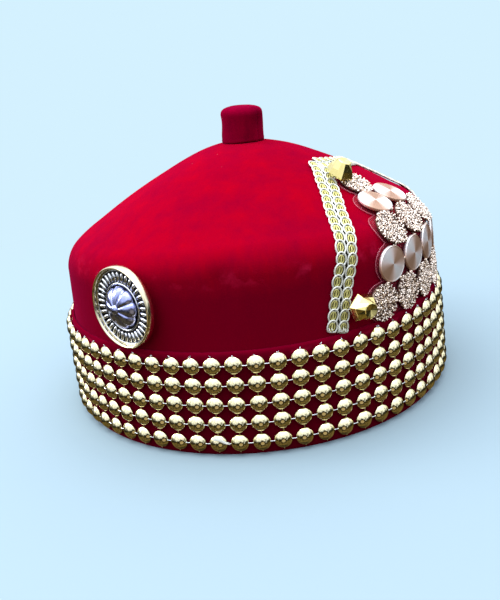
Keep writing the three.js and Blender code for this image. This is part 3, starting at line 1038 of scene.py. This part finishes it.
def build_medallion(gold, silver, tinted, dark):
    """A gold cup with a dark floor, a ring of small bars between two wires, and a domed rosette."""
    radius = MEDALLION["radius"]
    turn = math.radians(MEDALLION["degrees"])
    where = seat(turn, MEDALLION["climb"], GAP + MEDALLION["raise"], swing=MEDALLION["swing"])
    cup = Form()
    cup.lathe(
        [
            (0.0, 1.4), (radius - 1.5, 1.4), (radius - 1.45, 3.2), (radius - 1.3, 3.9), (radius - 1.0, 4.3),
            (radius - 0.6, 4.4), (radius - 0.3, 4.1), (radius - 0.1, 3.4), (radius, 2.6), (radius, 0.8),
            (radius - 0.2, 0.3), (radius - 0.7, 0.0), (0.0, 0.0),
        ],
        96,
    )
    cup.piece("ornament_cup", gold, "stud_gold", ["medallion_rim"], where, edge=40)
    floor = Form()
    floor.lathe([(0.0, 1.6), (17.9, 1.6), (18.0, 1.45), (0.0, 1.45)], 64)
    floor.piece("ornament_floor", dark, "silver", matrix=where)
    ring = Form()
    bar = Form()
    bar.tube([(0, y, 2.4) for y in (12.3, 12.9, 14.6, 16.3, 17.0)], [0.3, 0.75, 0.9, 0.8, 0.3], 8, flat=0.9)
    for n in range(BARS):
        ring.merge(bar, Matrix.Rotation(math.tau * n / BARS, 4, "Z"))
    for distance, size in ((11.2, 0.5), (17.7, 0.45)):
        turns = [math.tau * k / 72 for k in range(72)]
        circle = [(distance * math.cos(a), distance * math.sin(a), 2.2) for a in turns]
        ring.tube(circle, size, 8, closed=True)
    ring.piece("ornament_bars", silver, "silver", ["medallion_ring"], where)
    rosette = Form()
    around = 96
    dome = [(0.12, 1.0), (0.3, 0.98), (0.48, 0.9), (0.62, 0.84), (0.76, 0.72)]
    dome += [(0.9, 0.5), (0.99, 0.26), (1.0, 0.1), (0.98, 0.0)]
    rings = []
    for share, rise in dome:
        loop = []
        for j in range(around):
            angle = math.tau * j / around
            cleft = (1 - abs(math.cos(ROSETTE_PETALS * angle / 2))) ** 2
            reach = ROSETTE_RADIUS * share * (1 - 0.1 * cleft * share)
            height = 1.7 + ROSETTE_RISE * rise - 1.3 * cleft * share * rise
            loop.append((reach * math.sin(angle), -reach * math.cos(angle), height))
        rings.append(loop)
    rosette.rings(rings, ((0, 0, 7.2), (0, 0, 1.7)))
    rosette.lathe([(0.0, 8.2), (1.0, 8.1), (1.9, 7.7), (2.4, 7.0), (2.5, 6.4), (0.0, 6.2)], 32)
    rosette.piece("ornament_rosette", tinted, "silver", ["medallion_rosette"], where)


# Stage, light and camera


def build_stage():
    """A wide pale floor. It takes the cap's shadow near the cap, and runs out evenly into the backdrop."""
    made = Finish("stage_paper")
    paper = made.node("BsdfDiffuse", inputs={"Color": (*PAPER, 1)})
    even = made.node("Emission", inputs={"Color": (*BACKDROP, 1), "Strength": 1.0})
    across = made.axis(made.place, 0)
    along = made.axis(made.place, 1)
    away = (across * across + along * along) ** 0.5
    share = made.ramp(away * 1.4, [(0.16, grey(0)), (0.6, grey(1))])
    made.finish_with("Material", made.node("MixShader", inputs={0: share, 1: paper, 2: even}))
    mesh = bpy.data.meshes.new("floor")
    corners = [(x * FLOOR_REACH, y * FLOOR_REACH, 0) for x, y in ((-1, -1), (1, -1), (1, 1), (-1, 1))]
    mesh.from_pydata(corners, [], [(0, 1, 2, 3)])
    mesh.materials.append(made.material)
    floor = bpy.data.objects.new("floor", mesh)
    floor.visible_diffuse = False
    floor.visible_glossy = False
    bpy.context.scene.collection.objects.link(floor)


def build_light():
    """A soft sky over a dark belt and a brown floor, with a lit card in a dark ring, and two soft lamps."""
    world = bpy.data.worlds.new("studio")
    bpy.context.scene.world = world
    made = Graph(world)
    place = made.node("TexCoord")
    ripple = made.node("TexNoise", inputs={"Vector": place, "Scale": 3.6, "Detail": 5.0})
    level = made.node("Math", {"operation": "MULTIPLY_ADD"}, {0: made.axis(place, 2), 1: 0.5, 2: 0.1})
    waved = made.node("Math", {"operation": "MULTIPLY_ADD"}, {0: ripple, 1: 0.8, 2: level})
    belt = made.ramp(waved, [
        (0.02, (0.05, 0.04, 0.02)),
        (0.12, (0.19, 0.14, 0.05)),
        (0.26, (0.14, 0.105, 0.035)),
        (0.30, (0.014, 0.013, 0.008)),
        (0.48, (0.03, 0.03, 0.02)),
        (0.52, (0.5, 0.52, 0.54)),
        (0.60, (1.05, 1.12, 1.22)),
        (0.8, (1.6, 1.7, 1.9)),
        (1.0, (2.3, 2.4, 2.65)),
    ])
    toward = made.node("VectorMath", {"operation": "DOT_PRODUCT"}, {0: place, 1: CARD_COURSE}, output=1)
    ring = made.ramp(toward, [(0.86, grey(0)), (0.89, grey(1))])
    card = made.ramp(toward, [(0.945, grey(0)), (0.96, grey(1))])
    ringed = made.mix(ring, belt, (0.02, 0.018, 0.012, 1))
    carded = made.mix(card, ringed, (0.5, 0.4, 0.24, 1))
    seen = made.node("LightPath", output="Is Camera Ray")
    sky = made.node("Background", inputs={"Color": carded})
    backdrop = made.node("Background", inputs={"Color": (*BACKDROP, 1)})
    made.finish_with("World", made.node("MixShader", inputs={0: seen, 1: sky, 2: backdrop}))
    for spec in LAMPS:
        lamp = bpy.data.lights.new(spec["name"], "AREA")
        lamp.shape = "DISK"
        lamp.size = spec["size"]
        lamp.energy = spec["watts"]
        lit = bpy.data.objects.new(spec["name"], lamp)
        lit.location = spec["at"]
        lit.rotation_mode = "QUATERNION"
        lit.rotation_quaternion = (Vector((0, 0, 0.06)) - lit.location).to_track_quat("-Z", "Y")
        bpy.context.scene.collection.objects.link(lit)


def build_camera():
    """The photograph's view: above the near side and the front, a little turned about its own axis."""
    level = math.cos(CAMERA_ABOVE)
    x = math.sin(CAMERA_AROUND) * level
    y = -math.cos(CAMERA_AROUND) * level
    back = Vector((x, y, math.sin(CAMERA_ABOVE)))
    camera = bpy.data.cameras.new("camera")
    camera.lens = CAMERA_LENS
    camera.shift_x, camera.shift_y = CAMERA_SHIFT
    shown = bpy.data.objects.new("camera", camera)
    bpy.context.scene.collection.objects.link(shown)
    shown.location = Vector((0, 0, CUFF_MIDDLE * MM)) + back * CAMERA_DISTANCE
    shown.rotation_mode = "QUATERNION"
    roll = Matrix.Rotation(CAMERA_ROLL, 3, "Z").to_quaternion()
    shown.rotation_quaternion = (-back).to_track_quat("-Z", "Y") @ roll
    bpy.context.scene.camera = shown


def satin_finish():
    """Spun rose metal: fine rings, with two lighter and two darker wedges painted in as the highlights and
    shade of spun metal.
    """
    made = Finish("rose_satin")
    bearing = made.sum_of("ARCTAN2", made.axis(made.place, 1), made.axis(made.place, 0))
    painted_sheen_wedge = made.sum_of("COSINE", bearing * 2 + 1.75)
    fine = made.noise(0.9, 3)
    # Painted highlight and shade: the base colour runs from brown to near white with the bearing round the
    # disc.
    shade = made.ramp(painted_sheen_wedge * 0.5 + 0.5 + (fine - 0.5) * 0.12, [
        (0.08, (0.5, 0.3, 0.2)),
        (0.38, (0.74, 0.52, 0.42)),
        (0.66, (0.98, 0.84, 0.8)),
        (0.96, (1.0, 0.99, 1.0)),
    ])
    return made.surface(
        Base_Color=shade,
        Metallic=0.6,
        Roughness=fine * 0.1 + 0.32,
    )


def build_cap():
    # The crown's fall darkens the wall below the shoulder with painted shade, with painted sheen and rubbed
    # nap along the bend.
    velvet = velvet_finish(
        "red_velvet", deep=(0.2, 0.0, 0.013), bright=(0.31, 0.0, 0.007), lint=0.35, fall=(75.5, 92.0)
    )
    # The cuff's darker colours are painted shade between the beads. Its fall darkens the velvet below the
    # top edge further, and lightens that edge with painted sheen.
    cuff_velvet_painted_shade = velvet_finish(
        "cuff_red_velvet_painted_shade", deep=(0.11, 0.0, 0.008), bright=(0.16, 0.0, 0.011), lint=0.2, fall=(46.0, 51.0)
    )
    stalk_velvet = velvet_finish(
        "stalk_red_velvet", deep=(0.07, 0.0, 0.008), bright=(0.24, 0.0, 0.018), lint=0.15
    )
    bead_gold = metal_finish(
        "bead_gold", (0.88, 0.8, 0.52), (0.7, 0.6, 0.3), rough=0.05, wear=0.2, grain=0.8
    )
    post_gold = metal_finish("post_gold", (0.5, 0.4, 0.2), (0.25, 0.2, 0.1), rough=0.3)
    silver = metal_finish("silver", (0.78, 0.8, 0.84), (0.5, 0.52, 0.56), rough=0.14)
    tinted = metal_finish("tinted_silver", (0.5, 0.55, 0.92), (0.24, 0.26, 0.55), rough=0.16, wear=0.5)
    stud_gold = metal_finish("stud_gold", (0.88, 0.76, 0.32), (0.62, 0.48, 0.13), rough=0.08)
    rim_gold = metal_finish("rim_gold", (0.84, 0.77, 0.55), (0.62, 0.5, 0.24), rough=0.12)
    prong_gold = metal_finish("prong_gold", (0.85, 0.72, 0.6), (0.6, 0.45, 0.34), rough=0.2)
    satin = satin_finish()
    glitter = metal_finish("glitter_grain", (1.0, 0.9, 0.8), (0.78, 0.6, 0.48), rough=0.24)
    # Near-black bed: painted shade between the grains.
    painted_shade_bed = metal_finish("glitter_painted_shade_bed", (0.14, 0.08, 0.06), (0.06, 0.03, 0.03), rough=0.5)
    thread = metal_finish("silver_thread", (0.76, 0.78, 0.72), (0.58, 0.6, 0.53), rough=0.4, metal=0.4)
    core = metal_finish("thread_core", (0.66, 0.63, 0.24), (0.46, 0.42, 0.12), rough=0.35, metal=0.5)
    ground = metal_finish("braid_ground", (0.06, 0.05, 0.04), (0.02, 0.015, 0.01), rough=0.6)
    dark = metal_finish("dark_enamel", (0.03, 0.03, 0.035), (0.08, 0.08, 0.08), rough=0.3)
    film = Finish("clear_film").surface(
        Base_Color=(0.6, 0.15, 0.2, 1), Roughness=0.1, Alpha=0.05, Coat_Weight=0.2
    )
    film_edge = Finish("film_edge").surface(
        Base_Color=(0.75, 0.22, 0.3, 1), Roughness=0.12, Alpha=0.28
    )
    build_crown(velvet)
    build_cuff(cuff_velvet_painted_shade)
    build_stalk(stalk_velvet)
    build_bead_rows(bead_gold, silver, post_gold)
    build_braid(thread, core, ground)
    build_loose_threads(thread)
    build_film(film, film_edge)
    build_discs(satin, glitter, painted_shade_bed)
    build_prongs(prong_gold)
    build_nuggets(stud_gold)
    build_medallion(rim_gold, silver, tinted, dark)


build_camera()
build_cap()
build_stage()
build_light()
bpy.context.scene.view_settings.view_transform = "Standard"
